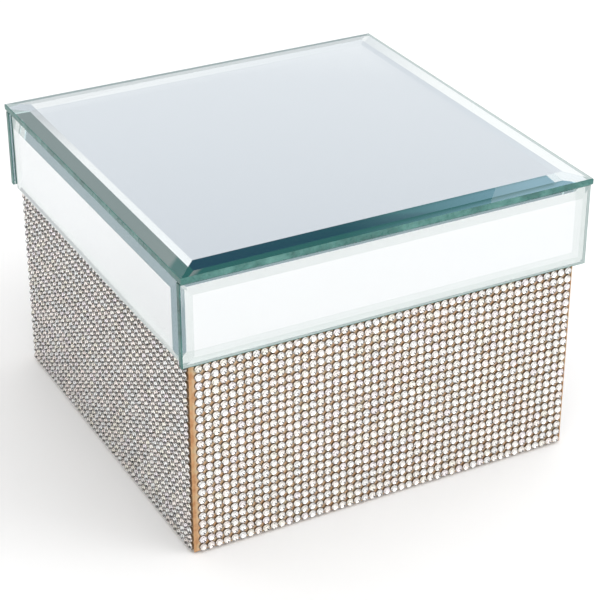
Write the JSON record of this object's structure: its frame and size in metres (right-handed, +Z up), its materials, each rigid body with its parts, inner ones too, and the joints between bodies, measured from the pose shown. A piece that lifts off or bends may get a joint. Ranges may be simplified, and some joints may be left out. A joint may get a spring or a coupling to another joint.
{
  "type": "trinket box",
  "caption": "Square vanity trinket box with a crystal-mesh body, a hinged lid of bevelled mirror glass and a velvet lining.",
  "frame": {"origin": "middle of the box's felt underside, on the surface it stands on", "axes": "+Z up through the lid, -Y towards the front and +Y towards the hinges, +X to the right seen from the front"},
  "size_m": [0.131, 0.136, 0.092],
  "materials": {
    "crystal_mesh": "faceted foil-backed clear stones in close rows on a golden-brown backing",
    "mirror_glass": "silvered 3 mm float glass with polished bevels and ground greenish edges",
    "lacquered_wood": "fibreboard with satin black lacquer",
    "velvet": "short dark grey velvet pile over card",
    "felt": "matt black felt",
    "nickel_plate": "nickel-plated steel"
  },
  "bodies": {
    "base": {"base_board": "lacquered_wood", "body_lining_back": "velvet", "body_lining_front": "velvet", "body_lining_left": "velvet", "body_lining_right": "velvet", "crystal_mesh_back": "crystal_mesh", "crystal_mesh_front": "crystal_mesh", "crystal_mesh_left": "crystal_mesh", "crystal_mesh_right": "crystal_mesh", "floor_pad": "velvet", "hinge_left_body_leaf": "nickel_plate", "hinge_left_body_screw_1": "nickel_plate", "hinge_left_body_screw_2": "nickel_plate", "hinge_left_pin": "nickel_plate", "hinge_right_body_leaf": "nickel_plate", "hinge_right_body_screw_1": "nickel_plate", "hinge_right_body_screw_2": "nickel_plate", "hinge_right_pin": "nickel_plate", "underside_felt": "felt", "wall_back": "lacquered_wood", "wall_front": "lacquered_wood", "wall_left": "lacquered_wood", "wall_right": "lacquered_wood"},
    "lid": {"hinge_left_lid_leaf": "nickel_plate", "hinge_left_lid_screw_1": "nickel_plate", "hinge_left_lid_screw_2": "nickel_plate", "hinge_right_lid_leaf": "nickel_plate", "hinge_right_lid_screw_1": "nickel_plate", "hinge_right_lid_screw_2": "nickel_plate", "lid_board": "lacquered_wood", "lid_lining_back": "velvet", "lid_lining_front": "velvet", "lid_lining_left": "velvet", "lid_lining_right": "velvet", "lid_pad": "velvet", "lid_rail_back": "lacquered_wood", "lid_rail_front": "lacquered_wood", "lid_rail_left": "lacquered_wood", "lid_rail_right": "lacquered_wood", "side_mirror_back": "mirror_glass", "side_mirror_front": "mirror_glass", "side_mirror_left": "mirror_glass", "side_mirror_right": "mirror_glass", "top_mirror": "mirror_glass"}
  },
  "joints": [
    {"name": "lid_hinge", "type": "hinge", "parent": "base", "child": "lid", "pos_m": [0, 0.0674, 0.0631], "axis": [-1, 0, 0], "range_deg": [0, 95]}
  ]
}
